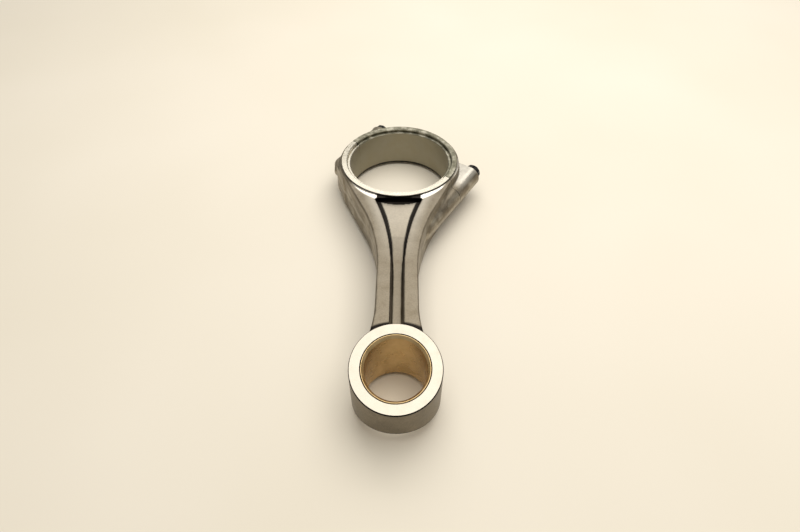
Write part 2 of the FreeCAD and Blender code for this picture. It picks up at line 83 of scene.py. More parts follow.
# Shells: the soft lining, the chamfers, and the tangs that locate them.
LINING = 0.5 * MM
SHELL_EDGE = 0.45 * MM
SHELL_BACK = HOUSING - 0.01 * MM
JOINT_RELIEF = 0.04 * MM
TANG_WIDTH = 5 * MM
TANG_HEIGHT = 1.2 * MM
TANG_LENGTH = 4 * MM
TANG_OFFSET = 10 * MM
TANG_PLAY = 0.2 * MM
# Pocket of the I-beam: parallel up to the bend, then widening along an arc.
POCKET_HALF = 4.4 * MM
POCKET_BEND = -125 * MM
POCKET_FLARE = 210 * MM
POCKET_RIM = FLANGE_HEIGHT - 2 * MM
# Small end.
PIN_CENTRE = Vector(MOUNTS["piston_pin_bore"]["pos_m"])
PIN_BORE = MOUNTS["piston_pin_bore"]["dims"]["r_mm"] * MM
BUSH_RADIUS = 21.1 * MM
SMALL_END_RADIUS = 28.2 * MM
SMALL_END_HALF = 16.75 * MM
TAPER = math.tan(math.radians(11.3))
# Bolts: for each side the bolt axis, the boss axis and the seat height.
BOLTS = {
    "left": {"axis": -50 * MM, "boss": -47.8 * MM, "seat": 42 * MM},
    "right": {"axis": 51 * MM, "boss": 51 * MM, "seat": 33 * MM},
}
BOSS_RADIUS = 9.2 * MM
BOLT_LENGTH = 58 * MM
SHANK_RADIUS = 4.95 * MM
THREAD_RADIUS = 5 * MM
THREAD_PITCH = 1.5 * MM
THREAD_LENGTH = 28 * MM
NECK_RADIUS = 4.45 * MM
HEAD_CORNER = 6.78 * MM
HEAD_FLAT = 5.98 * MM
SLEEVE_RADIUS = 5.9 * MM
SLEEVE_BORE = 5.2 * MM
SLEEVE_HALF = 4 * MM
# Mesh and material choices.
ROUND_STEPS = 144
BOLT_STEPS = 96
NEAR = 0.04 * MM
FORGED, TURNED, FACED, JOINT = range(4)


# ---------------------------------------------------------------------------- meshes


def clear_default_scene():
    """Remove what a new Blender file holds besides the frame."""
    for name in ("Cube", "Light", "Camera"):
        stray = bpy.data.objects.get(name)
        if stray is not None and "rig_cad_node" not in stray:
            bpy.data.objects.remove(stray)


def new_object(name, mesh, *materials):
    """Link a mesh to the scene as an object with these materials."""
    piece = bpy.data.objects.new(name, mesh)
    bpy.context.scene.collection.objects.link(piece)
    mesh.materials.clear()
    for material in materials:
        mesh.materials.append(material)
    return piece


def shade(mesh, angle=28):
    """Shade a mesh smooth, with sharp edges where faces meet at more than an angle."""
    mesh.polygons.foreach_set("use_smooth", [True] * len(mesh.polygons))
    mesh.set_sharp_from_angle(angle=math.radians(angle))


def loft(rings, capped=False, wrap=False):
    """Return a mesh through closed rings of points.

    wrap joins the last ring to the first; capped closes both ends. A ring of one point is a pole.
    """
    build = bmesh.new()
    rows = [[build.verts.new(point) for point in ring] for ring in rings]
    pairs = list(zip(rows, rows[1:]))
    if wrap:
        pairs.append((rows[-1], rows[0]))
    for low, high in pairs:
        count = max(len(low), len(high))
        for i in range(count):
            j = (i + 1) % count
            corners = [low[i % len(low)], low[j % len(low)], high[j % len(high)], high[i % len(high)]]
            face = list(dict.fromkeys(corners))
            build.faces.new(face)
    if capped:
        build.faces.new(rows[0])
        build.faces.new(rows[-1])
    bmesh.ops.recalc_face_normals(build, faces=build.faces)
    mesh = bpy.data.meshes.new("loft")
    build.to_mesh(mesh)
    build.free()
    return mesh


def circle_angles(count=ROUND_STEPS):
    """Return evenly spaced angles round a circle."""
    return [2 * math.pi * i / count for i in range(count)]


def lathe(profile, place=Matrix.Identity(4), count=ROUND_STEPS):
    """Turn a profile of (radius, height) about the z axis of place.

    A radius of 0 is a pole. A profile with no pole wraps round into a tube.
    """
    rings = []
    for radius, height in profile:
        angles = circle_angles(count) if radius > 0 else [0]
        points = [Vector((radius * math.cos(a), radius * math.sin(a), height)) for a in angles]
        rings.append([place @ point for point in points])
    return loft(rings, wrap=profile[0][0] > 0)


def sloped_lathe(profile):
    """Turn a profile about the pin axis, with heights that follow the sloping side faces.

    The profile holds (radius, side, inset): side is 1 for the upper face, -1 for the lower
    one, and inset is how far inside that face the ring lies.
    """
    rings = []
    for radius, side, inset in profile:
        angles = circle_angles() if radius > 0 else [0]
        ring = []
        for angle in angles:
            across = radius * math.sin(angle)
            height = side * (SMALL_END_HALF + across * TAPER - inset)
            ring.append(PIN_CENTRE + Vector((radius * math.cos(angle), across, height)))
        rings.append(ring)
    return loft(rings, wrap=profile[0][0] > 0)


def block(low, high, place=Matrix.Identity(4)):
    """Return a box mesh between two corners, in the frame of place."""
    levels = (low[2], high[2])
    rings = [
        [place @ Vector((x, y, z)) for x, y in (low[:2], (high[0], low[1]), high[:2], (low[0], high[1]))]
        for z in levels
    ]
    return loft(rings, capped=True)


def drum(radius, low, high, place=Matrix.Identity(4), edge=0.0):
    """Return a solid round bar about the z axis of place, with chamfered ends."""
    profile = [(0, low), (radius - edge, low), (radius, low + edge)]
    profile += [(radius, high - edge), (radius - edge, high), (0, high)]
    return lathe(profile, place)


def bolt_place(side, key="axis"):
    """Return the frame of a bolt or boss: z along the bolt, from the joint upwards."""
    return TO_MODEL @ Matrix.Translation((BOLTS[side][key], 0, 0))


def evaluated(piece):
    """Return the mesh of an object with its modifiers applied, and remove the object."""
    graph = bpy.context.evaluated_depsgraph_get()
    mesh = bpy.data.meshes.new_from_object(piece.evaluated_get(graph))
    bpy.data.objects.remove(piece)
    return mesh


def combine(mesh, operation, tools):
    """Join tools to a mesh, or cut them out of it, and return the result."""
    piece = new_object("work", mesh)
    helpers = []
    for tool in tools:
        helper = new_object("tool", tool)
        step = piece.modifiers.new("step", "BOOLEAN")
        step.operation = operation
        step.solver = "MANIFOLD"
        step.object = helper
        helpers.append(helper)
    result = evaluated(piece)
    for helper in helpers:
        bpy.data.objects.remove(helper)
    return result


# ---------------------------------------------------------------------------- materials


BRIGHT = [(0.3, (0.52, 0.475, 0.39)), (0.7, (0.66, 0.615, 0.52))]
SATIN = [(0.3, (0.37, 0.33, 0.27)), (0.7, (0.44, 0.40, 0.335))]
COATED = [(0.34, (0.13, 0.12, 0.085)), (0.52, (0.25, 0.235, 0.175)), (0.66, (0.50, 0.47, 0.38))]
SEAM_COLOUR = (0.02, 0.016, 0.012)


def new_material(name, colour, metallic, roughness):
    """Return a material, its shader and its node tree, with plain values on the shader."""
    material = bpy.data.materials.new(name)
    material.use_nodes = True
    tree = material.node_tree
    shader = tree.nodes["Principled BSDF"]
    shader.inputs["Base Color"].default_value = (*colour, 1)
    shader.inputs["Metallic"].default_value = metallic
    shader.inputs["Roughness"].default_value = roughness
    return material, shader, tree


def object_coordinates(tree, centre=(0, 0, 0), stretch=(1, 1, 1)):
    """Return a socket with places measured from centre, in metres."""
    source = tree.nodes.new("ShaderNodeTexCoord")
    mapping = tree.nodes.new("ShaderNodeMapping")
    mapping.inputs["Location"].default_value = [-value * factor for value, factor in zip(centre, stretch)]
    mapping.inputs["Scale"].default_value = stretch
    tree.links.new(source.outputs["Object"], mapping.inputs["Vector"])
    return mapping.outputs["Vector"]


def noise(tree, place, size, detail=3.0, roughness=0.5):
    """Return a noise value with features of about this size in metres."""
    texture = tree.nodes.new("ShaderNodeTexNoise")
    texture.inputs["Scale"].default_value = 1 / size
    texture.inputs["Detail"].default_value = detail
    texture.inputs["Roughness"].default_value = roughness
    tree.links.new(place, texture.inputs["Vector"])
    return texture.outputs["Fac"]


def ramp(tree, value, stops):
    """Return a colour ramp of value through (position, colour) stops."""
    node = tree.nodes.new("ShaderNodeValToRGB")
    points = node.color_ramp.elements
    while len(points) < len(stops):
        points.new(0.5)
    for point, (position, colour) in zip(points, stops):
        point.position = position
        point.color = (*colour, 1)
    tree.links.new(value, node.inputs["Fac"])
    return node.outputs["Color"]


def grey_ramp(tree, value, low, high, start=0.35, end=0.65):
    """Return a value that runs from low to high as the input runs from start to end."""
    node = tree.nodes.new("ShaderNodeMapRange")
    node.inputs["From Min"].default_value = start
    node.inputs["From Max"].default_value = end
    node.inputs["To Min"].default_value = low
    node.inputs["To Max"].default_value = high
    tree.links.new(value, node.inputs["Value"])
    return node.outputs["Result"]


def mixed(tree, amount, first, second):
    """Return two colours mixed by amount; the second may be a plain colour."""
    node = tree.nodes.new("ShaderNodeMix")
    node.data_type = "RGBA"
    tree.links.new(amount, node.inputs["Factor"])
    tree.links.new(first, node.inputs["A"])
    if isinstance(second, tuple):
        node.inputs["B"].default_value = (*second, 1)
    else:
        tree.links.new(second, node.inputs["B"])
    return node.outputs["Result"]


def multiplied(tree, first, second, amount=1.0):
    """Return the first colour darkened by the second."""
    node = tree.nodes.new("ShaderNodeMix")
    node.data_type = "RGBA"
    node.blend_type = "MULTIPLY"
    node.inputs["Factor"].default_value = amount
    tree.links.new(first, node.inputs["A"])
    tree.links.new(second, node.inputs["B"])
    return node.outputs["Result"]


def product(tree, first, second):
    """Return the product of two values."""
    node = tree.nodes.new("ShaderNodeMath")
    node.operation = "MULTIPLY"
    tree.links.new(first, node.inputs[0])
    tree.links.new(second, node.inputs[1])
    return node.outputs["Value"]


def stored(tree, name):
    """Return a value stored on the mesh."""
    node = tree.nodes.new("ShaderNodeAttribute")
    node.attribute_name = name
    return node.outputs["Fac"]


def seam_line(tree):
    """Return 1 on the thin dark line where the cap meets the rod, and 0 elsewhere."""
    source = tree.nodes.new("ShaderNodeTexCoord")
    above = tree.nodes.new("ShaderNodeVectorMath")
    above.operation = "DOT_PRODUCT"
    above.inputs[1].default_value = BOLTWARD
    tree.links.new(source.outputs["Object"], above.inputs[0])
    distance = tree.nodes.new("ShaderNodeMath")
    distance.operation = "ABSOLUTE"
    tree.links.new(above.outputs["Value"], distance.inputs[0])
    return grey_ramp(tree, distance.outputs["Value"], 1, 0, 0.18 * MM, 0.34 * MM)


def add_bump(tree, shader, height, depth):
    """Raise the surface by height times depth, on top of any bump it already has."""
    node = tree.nodes.new("ShaderNodeBump")
    node.inputs["Distance"].default_value = depth
    node.inputs["Strength"].default_value = 1
    tree.links.new(height, node.inputs["Height"])
    present = shader.inputs["Normal"].links
    if present:
        tree.links.new(present[0].from_socket, node.inputs["Normal"])
    tree.links.new(node.outputs["Normal"], shader.inputs["Normal"])


def tool_marks(tree, place, pitch, kind, bands_across="X", wobble=0.6):
    """Return the height of fine tool marks, as rings round z or as bands across an axis."""
    wave = tree.nodes.new("ShaderNodeTexWave")
    wave.wave_type = kind
    wave.rings_direction = "Z"
    wave.bands_direction = bands_across
    wave.inputs["Scale"].default_value = 0.314 / pitch
    wave.inputs["Distortion"].default_value = wobble
    wave.inputs["Detail"].default_value = 2
    wave.inputs["Detail Scale"].default_value = 1.5
    tree.links.new(place, wave.inputs["Vector"])
    return wave.outputs["Fac"]


def add_wear(tree, colour):
    """Brighten a colour along the sheared flash line and in scuffed patches."""
    streak = noise(tree, object_coordinates(tree, stretch=(1, 1, 0.2)), 3 * MM, 3)
    sheared = product(tree, stored(tree, "flash"), grey_ramp(tree, streak, 0.2, 0.7, 0.3, 0.7))
    colour = mixed(tree, sheared, colour, (0.50, 0.46, 0.39))
    patches = noise(tree, object_coordinates(tree, stretch=(1, 0.45, 1)), 9 * MM, 5, 0.62)
    scuffed = product(tree, stored(tree, "scuff"), grey_ramp(tree, patches, 0, 1, 0.47, 0.66))
    return mixed(tree, scuffed, colour, (0.46, 0.42, 0.34))


def forged_material():
    """Shot-blasted forging: grey-brown grain and mottling, bright wear, painted shade in recesses and at
    edges, painted highlights on top faces.
    """
    material, shader, tree = new_material("forged_steel", (0.22, 0.185, 0.135), 0.9, 0.45)
    place = object_coordinates(tree)
    cloud = noise(tree, place, 11 * MM, 4, 0.6)
    grain = noise(tree, place, 0.9 * MM, 3, 0.65)
    colour = ramp(tree, cloud, [(0.32, (0.165, 0.137, 0.096)), (0.68, (0.28, 0.24, 0.18))])
    speck = ramp(tree, grain, [(0.35, (0.72, 0.72, 0.72)), (0.6, (1, 1, 1))])
    colour = add_wear(tree, multiplied(tree, colour, speck, 0.8))
    # Painted highlight: a light colour on top faces by the ring, in the pocket, on the flanges and on the
    # ear; these places are also made smoother.
    painted_highlight = stored(tree, "painted_highlight")
    colour = mixed(tree, painted_highlight, colour, (0.74, 0.70, 0.62))
    # Painted shade: a near-black colour in the pockets, at the ring's step, the bore's ends, the small
    # end's rims and beyond the small-end boss.
    dark = ramp(tree, grain, [(0.3, (0.004, 0.003, 0.002)), (0.7, (0.014, 0.011, 0.008))])
    colour = mixed(tree, stored(tree, "painted_shade"), colour, dark)
    colour = mixed(tree, seam_line(tree), colour, SEAM_COLOUR)
    tree.links.new(colour, shader.inputs["Base Color"])
    roughness = grey_ramp(tree, cloud, 0.38, 0.54)
    tree.links.new(mixed(tree, painted_highlight, roughness, (0.27, 0.27, 0.27)), shader.inputs["Roughness"])
    add_bump(tree, shader, noise(tree, place, 5 * MM, 3), 0.12 * MM)
    add_bump(tree, shader, grain, 0.05 * MM)
    return material


def machined_material(name, centre, stops, kind="RINGS", pitch=0.22 * MM, seam=False, smoothest=0.17):
    """Turned or ground steel with fine tool marks: rings about a centre, or bands across x."""
    material, shader, tree = new_material(name, (0.62, 0.58, 0.50), 1.0, 0.24)
    place = object_coordinates(tree, centre)
    cloud = noise(tree, place, 6 * MM, 4, 0.6)
    colour = ramp(tree, cloud, stops)
    if seam:
        colour = mixed(tree, seam_line(tree), colour, SEAM_COLOUR)
    tree.links.new(colour, shader.inputs["Base Color"])
    tree.links.new(grey_ramp(tree, cloud, smoothest, smoothest + 0.12), shader.inputs["Roughness"])
    add_bump(tree, shader, tool_marks(tree, place, pitch, kind), 0.004 * MM)
    add_bump(tree, shader, noise(tree, place, 1.6 * MM, 4), 0.003 * MM)
    return material


def bronze_material():
    """Fine-bored bronze, warm brown, a little darker in patches."""
    material, shader, tree = new_material("bush_bronze", (0.56, 0.39, 0.19), 1.0, 0.3)
    place = object_coordinates(tree, PIN_CENTRE)
    cloud = noise(tree, place, 9 * MM, 4)
    colour = ramp(tree, cloud, [(0.3, (0.52, 0.36, 0.165)), (0.7, (0.70, 0.51, 0.265))])
    tree.links.new(colour, shader.inputs["Base Color"])
    tree.links.new(grey_ramp(tree, cloud, 0.24, 0.38), shader.inputs["Roughness"])
    add_bump(tree, shader, tool_marks(tree, place, 0.25 * MM, "BANDS", "Z", 0.3), 0.005 * MM)
    return material


def lining_material():
    """Soft overlay of the bearing shells: matte grey, with a dark line of painted shade at its lower
    edge.
    """
    material, shader, tree = new_material("shell_overlay", (0.29, 0.265, 0.20), 0.75, 0.5)
    place = object_coordinates(tree)
    cloud = noise(tree, place, 16 * MM, 3)
    colour = ramp(tree, cloud, [(0.3, (0.30, 0.27, 0.19)), (0.7, (0.37, 0.34, 0.255))])
    split = tree.nodes.new("ShaderNodeSeparateXYZ")
    tree.links.new(place, split.inputs[0])
    # Painted shade along the lower edge of the lining.
    lower_edge_shade = grey_ramp(tree, split.outputs["Z"], 1, 0, -SHELL_HALF + 1.3 * MM, -SHELL_HALF + 2.1 * MM)
    colour = mixed(tree, lower_edge_shade, colour, (0.006, 0.005, 0.004))
    tree.links.new(colour, shader.inputs["Base Color"])
    tree.links.new(grey_ramp(tree, cloud, 0.42, 0.56), shader.inputs["Roughness"])
    add_bump(tree, shader, tool_marks(tree, place, 0.3 * MM, "BANDS", "Z", 0.2), 0.004 * MM)
    return material


def oxide_material():
    """Black oxide on the bolts, worn a little brighter in specks."""
    material, shader, tree = new_material("black_oxide", (0.015, 0.014, 0.013), 0.85, 0.34)
    place = object_coordinates(tree)
    grain = noise(tree, place, 1.2 * MM, 4, 0.6)
    colour = ramp(tree, grain, [(0.45, (0.010, 0.0095, 0.009)), (0.8, (0.045, 0.042, 0.038))])
    tree.links.new(colour, shader.inputs["Base Color"])
    tree.links.new(grey_ramp(tree, grain, 0.28, 0.42), shader.inputs["Roughness"])
    add_bump(tree, shader, grain, 0.01 * MM)
    return material


def table_material():
    """Pale cream table top with a barely visible tone change."""
    material, shader, tree = new_material("table_top", (0.84, 0.775, 0.655), 0.0, 0.75)
    place = object_coordinates(tree)
    cloud = noise(tree, place, 0.25, 2)
    colour = ramp(tree, cloud, [(0.3, (0.82, 0.75, 0.62)), (0.7, (0.86, 0.79, 0.67))])
    tree.links.new(colour, shader.inputs["Base Color"])
    return material


# ---------------------------------------------------------------------------- forging


def forging_stock():
    """Return solids that fill the holes of the forging and stand proud where the seats are milled."""
    overlap = 2 * MM
    below_flange = FLANGE_HEIGHT - 1 * MM
    stock = [drum(HOUSING + overlap, -below_flange, below_flange)]
    pin_half = 10 * MM
    stock.append(drum(BUSH_RADIUS + overlap, -pin_half, pin_half, Matrix.Translation(PIN_CENTRE)))
    boss_inner = 40 * MM
    for side, bolt in BOLTS.items():
        seat = bolt["seat"]
        foot, crown = seat - 8 * MM, seat + 3 * MM
        hole_end = seat - BOLT_LENGTH - overlap
        stock.append(drum(SLEEVE_RADIUS + 1 * MM, hole_end, seat, bolt_place(side)))
        stock.append(drum(BOSS_RADIUS, foot, crown, bolt_place(side, "boss")))
        inner, outer = sorted((math.copysign(boss_inner, bolt["axis"]), bolt["boss"]))
        low = (inner, -BOSS_RADIUS, foot)
        stock.append(block(low, (outer, BOSS_RADIUS, crown), TO_MODEL))
    return stock


def forged_blank():
    """Return the whole forging before machining: one skin with rounded edges and fillets.

    It is a touch undersize, so that the machined faces added later stand clear of it.
    """
    build = bmesh.new()
    for node in ("rod_body", "bearing_cap"):
        build.from_mesh(frame["nodes"][node].data)
    for solid in forging_stock():
        build.from_mesh(solid)
    mesh = bpy.data.meshes.new("blank")
    build.to_mesh(mesh)
    build.free()
    blank = new_object("blank", mesh)
    remesh = blank.modifiers.new("skin", "REMESH")
    remesh.mode = "VOXEL"
    remesh.voxel_size = 0.6 * MM
    smooth = blank.modifiers.new("round", "SMOOTH")
    smooth.factor = 0.5
    smooth.iterations = 10
    shrink = blank.modifiers.new("undersize", "DISPLACE")
    shrink.mid_level = 0
    shrink.strength = -0.12 * MM
    return evaluated(blank)


def machined_stock():
    """Return the crisp solids that the machined faces belong to."""
    edge = 0.5 * MM
    rows = [(0, -1, 0), (SMALL_END_RADIUS - edge, -1, 0), (SMALL_END_RADIUS, -1, edge)]
    rows.append((SMALL_END_RADIUS, -1, 1.2 * MM))
    rows += [(radius, 1, inset) for radius, _, inset in reversed(rows)]
    return [drum(THRUST_RADIUS, -THRUST_HEIGHT, THRUST_HEIGHT, edge=0.3 * MM), sloped_lathe(rows)]


def machined_cuts():
    """Return the tools that cut the bores and the bolt seats."""
    past = 4 * MM
    lip = 0.6 * MM
    lower = [(0, -THRUST_HEIGHT - past), (HOUSING + lip + past, -THRUST_HEIGHT - past)]
    lower.append((HOUSING, -THRUST_HEIGHT + lip))
    upper = [(radius, -height) for radius, height in reversed(lower)]
    cuts = [lathe(lower + upper)]
    rim = 0.5 * MM
    rows = [(0, -1, -past), (BUSH_RADIUS + rim + past, -1, -past), (BUSH_RADIUS, -1, rim)]
    rows += [(radius, 1, inset) for radius, _, inset in reversed(rows)]
    cuts.append(sloped_lathe(rows))
    mill_inner, mill_outer, mill_reach = 39.5 * MM, 75 * MM, 25 * MM
    for bolt in BOLTS.values():
        seat = bolt["seat"]
        inner, outer = sorted(math.copysign(edge, bolt["axis"]) for edge in (mill_inner, mill_outer))
        low = (inner, -mill_reach, seat)
        cuts.append(block(low, (outer, mill_reach, seat + mill_reach), TO_MODEL))
    return cuts


def tang_block(half, play):
    """Return a shell tang's block, with play at its back, sides and end.

    half is -1 for the rod and 1 for the cap.
    """
    middle = half * TANG_OFFSET
    side = TANG_WIDTH / 2 + play
    ends = sorted((0, half * (TANG_LENGTH + play)))
    low = (-HOUSING - TANG_HEIGHT - play, middle - side, ends[0])
    return block(low, (-HOUSING + TANG_HEIGHT, middle + side, ends[1]), TO_MODEL)


def hole_tools(half):
    """Return the tools that cut the bolt holes and sleeve pockets into one half."""
    tools = []
    past = 0.5 * MM
    for side, bolt in BOLTS.items():
        if half < 0:
            span = (bolt["seat"] - BOLT_LENGTH - 1 * MM, past)
            tools.append(drum(THREAD_RADIUS + 0.05 * MM, *span, bolt_place(side)))
        else:
            tools.append(drum(SLEEVE_BORE, -past, bolt["seat"] + 2 * MM, bolt_place(side)))
        pocket = sorted((-half * past, half * SLEEVE_HALF))
        tools.append(drum(SLEEVE_RADIUS + 0.03 * MM, *pocket, bolt_place(side)))
    tools.append(tang_block(half, TANG_PLAY))
    return tools


def columns(collection, name):
    """Return the x, y and z of a vector property of every element as three arrays."""
    values = np.empty(len(collection) * 3, np.float32)
    collection.foreach_get(name, values)
    return values.reshape(-1, 3).T


def beside_joint(x, y):
    """Return how far each place is along the joint line and beyond the joint."""
    return x * ALONG.x + y * ALONG.y, x * BOLTWARD.x + y * BOLTWARD.y


def beside_pin(x, y):
    """Return how far each place is from the pin axis, and how high the sloping faces are there."""
    distance = np.hypot(x - PIN_CENTRE.x, y - PIN_CENTRE.y)
    return distance, SMALL_END_HALF + (y - PIN_CENTRE.y) * TAPER


def in_bolt_hole(x, y, z, bolt):
    """Return which places lie on a bolt's seat or inside its hole."""
    along, above = beside_joint(x, y)
    seat_inner = 35 * MM
    on_this_side = along * bolt["axis"] > seat_inner**2
    from_bolt = np.hypot(along - bolt["axis"], z)
    inside = (from_bolt < SLEEVE_RADIUS + NEAR) & (above > bolt["seat"] - BOLT_LENGTH - 2 * MM)
    return (np.abs(above - bolt["seat"]) < NEAR) & on_this_side | inside


def paint_machined(mesh):
    """Pick each face's material: forged, turned at the big end, faced at the small end, or joint."""
    x, y, z = columns(mesh.polygons, "center")
    nx, ny, _ = columns(mesh.polygons, "normal")
    radius = np.hypot(x, y)
    height = np.abs(z)
    turned = (radius < THRUST_RADIUS - NEAR) & (height > FLANGE_HEIGHT + 0.3 * MM)
    turned |= radius < HOUSING + 0.7 * MM
    for bolt in BOLTS.values():
        turned |= in_bolt_hole(x, y, z, bolt)
    from_pin, slope = beside_pin(x, y)
    faced = (from_pin < SMALL_END_RADIUS - 0.5 * MM) & (np.abs(height - slope) < NEAR)
    faced |= from_pin < BUSH_RADIUS + NEAR
    _, above = beside_joint(x, y)
    _, facing = beside_joint(nx, ny)
    joint = (np.abs(above) < NEAR) & (np.abs(facing) > 0.9)
    index = np.select((joint, faced, turned), (JOINT, FACED, TURNED), FORGED)
    mesh.polygons.foreach_set("material_index", index.astype(np.int32))


def rise(values, start, end):
    """Return values scaled so that start becomes 0 and end becomes 1, held between the two."""
    return np.clip((values - start) / (end - start), 0, 1)


def in_pocket(x, y, z):
    """Return which places are in or right beside the pockets of the I-beam."""
    return (np.abs(x) < 21 * MM) & (y < -45 * MM) & (y > -180 * MM) & (np.abs(z) > 5 * MM)


def inside_pocket_wall(x, y):
    """Return how far each place is inside the pocket's side walls."""
    reach = np.clip(y - POCKET_BEND, 0, 0.9 * POCKET_FLARE)
    half = POCKET_HALF + POCKET_FLARE - np.sqrt(POCKET_FLARE**2 - reach**2)
    return half - np.abs(x)


def pocket_painted_shade(place, normal):
    """Return how much shade is painted in the pockets: at the walls, their feet, the upper end and the
    land by the ring.
    """
    x, y, z = place
    nx, ny, _ = normal
    radius = np.hypot(x, y)
    depth = np.interp(y, (-150 * MM, -105 * MM), (0.15, 1))
    # Painted shade on the pocket walls, their feet, the end wall and the land by the ring, strongest near
    # the ring.
    wall = rise(-nx * np.sign(x), 0.4, 0.6) * depth
    band = MM * np.interp(y / MM, (-122, -104, -90, -64), (0.3, 1.5, 3.0, 4.6))
    inward = inside_pocket_wall(x, y)
    foot = rise(inward - band, 0.5 * MM, 0) * (inward > -0.5 * MM) * depth
    foot *= np.abs(z) < POCKET_RIM
    end_wall = rise(-ny, 0.3, 0.6) * (y > -62 * MM)
    land = (radius < 51.5 * MM) & (np.abs(x) < 17.5 * MM) & (radius > THRUST_RADIUS - 0.02 * MM)
    return np.maximum.reduce([wall, foot, end_wall, land]) * in_pocket(x, y, z)


def edge_painted_shade(place, normal):
    """Return how much shade is painted at the edges: the ring's step, the bore's ends, the small end's
    rims and a contact shadow beyond the small-end boss.
    """
    x, y, z = place
    radius = np.hypot(x, y)
    height = np.abs(z)
    # Painted shade on the ring's step, the lower end of the bore and the rims of the small end and the
    # bush.
    step = (np.abs(radius - THRUST_RADIUS) < 0.06 * MM) & (height > 14 * MM)
    bore_end = (radius < 45 * MM) & (z < -SHELL_HALF)
    from_pin, slope = beside_pin(x, y)
    rim = (np.abs(from_pin - SMALL_END_RADIUS) < 0.7 * MM) & (np.abs(height - slope) < 0.7 * MM)
    bush_rim = np.abs(from_pin - BUSH_RADIUS) < 0.6 * MM
    # Painted contact shadow on the flange just beyond the small-end boss.
    corner_inner, corner_outer = 33.6 * MM, 34.8 * MM
    corner = rise(from_pin, corner_outer, corner_inner) * (from_pin > SMALL_END_RADIUS + 0.2 * MM)
    corner *= rise(np.abs(normal[2]), 0.4, 0.7) * (y > PIN_CENTRE.y)
    return np.maximum(step | bore_end | rim | bush_rim, corner)


def painted_highlight_amount(place, normal):
    """Return how much highlight is painted on the forging: by the ring, in the pocket, on the flanges and
    on the ear.
    """
    x, y, z = place
    height = np.abs(z)
    inward = inside_pocket_wall(x, y)
    # Painted highlights: a crescent under the ring's step, the pocket floor near the ring, the flange
    # tops and the ear's top face.
    highlight_radius, highlight_offset = 42 * MM, 12 * MM
    inside_highlight = highlight_radius - np.hypot(x, y + highlight_offset)
    crescent = rise(inside_highlight, -0.4 * MM, 0.4 * MM) * (height > 12 * MM)
    toward_ring = rise(y, -110 * MM, -66 * MM)
    pocket_floor = 0.17 * toward_ring * in_pocket(x, y, z) * (height < POCKET_RIM)
    flange = 0.24 * rise(y, -120 * MM, -62 * MM) * rise(normal[2], 0.8, 0.95)
    flange *= rise(-inward, 9 * MM, 3 * MM) * (y < 0) * (height >= POCKET_RIM)
    along, above = beside_joint(x, y)
    ear = 0.62 * rise(normal[2], 0.62, 0.8) * (along > 40 * MM) * rise(above, 2 * MM, 12 * MM)
    return np.maximum.reduce([crescent, pocket_floor, flange, ear])


def scuffing(place, normal):
    """Return how far the sides of the big end and of the upper shank are scuffed."""
    x, y, z = place
    steepness = rise(np.abs(normal[2]), 0.85, 0.7)
    lengthwise = rise(y, -125 * MM, -95 * MM) * rise(y, 5 * MM, -15 * MM)
    below_faces = rise(np.abs(z), 15 * MM, 12 * MM)
    clear_of_ring = np.hypot(x, y) > THRUST_RADIUS + 2 * MM
    return 0.8 * steepness * lengthwise * below_faces * clear_of_ring


def mark_surface(mesh):
    """Store on each point how much painted shade and painted highlight it gets, and how sheared and how
    scuffed it is.
    """
    place = columns(mesh.vertices, "co")
    normal = columns(mesh.vertex_normals, "vector")
    # The first mark is painted shade and the second is painted highlight.
    marks = {
        "painted_shade": np.maximum(pocket_painted_shade(place, normal), edge_painted_shade(place, normal)),
        "painted_highlight": painted_highlight_amount(place, normal),
        "flash": rise(-np.abs(place[2]), -2.2 * MM, -1.2 * MM) * (np.abs(normal[2]) < 0.5),
        "scuff": scuffing(place, normal),
    }
    for name, values in marks.items():
        attribute = mesh.attributes.new(name, "FLOAT", "POINT")
        attribute.data.foreach_set("value", values.astype(np.float32))


def place_piece(name, mesh, body, node, slot, *materials):
    """Shade a mesh and put it in place of its CAD node."""
    shade(mesh)
    piece = new_object(name, mesh, *materials)
    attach(piece, body)
    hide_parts(node)


def finish_forging(whole, name, node, body, half, materials):
    """Cut one half out of the whole forging and put it in place of its CAD node."""
    far = 300 * MM
    away = sorted((0, -half * far))
    split = block((-far, -far, away[0]), (far, far, away[1]), TO_MODEL)
    mesh = combine(whole.copy(), "DIFFERENCE", [split] + hole_tools(half))
    place_piece(name, mesh, body, node, "forged_steel", *materials)
    mark_surface(mesh)
    paint_machined(mesh)


def make_forgings(rod_materials, cap_materials):
    """Make the rod and its cap from one forging, machined together and then split."""
    whole = combine(forged_blank(), "UNION", machined_stock())
    whole = combine(whole, "DIFFERENCE", machined_cuts())
    finish_forging(whole, "rod_forging", "rod_body", "rod", -1, rod_materials)
    finish_forging(whole, "cap_forging", "bearing_cap", "cap", 1, cap_materials)


# ---------------------------------------------------------------------------- fittings


def shell_section():
    """Return a shell's section as (radius, height) points, with chamfered corners."""
    inner, lined = SHELL_BORE, SHELL_BORE + LINING + SHELL_EDGE
    back_edge = SHELL_EDGE / 2
    upper = [(inner, SHELL_HALF - SHELL_EDGE), (inner + SHELL_EDGE, SHELL_HALF), (lined, SHELL_HALF)]
    upper += [(SHELL_BACK - back_edge, SHELL_HALF), (SHELL_BACK, SHELL_HALF - back_edge)]
    return upper + [(radius, -height) for radius, height in reversed(upper)]


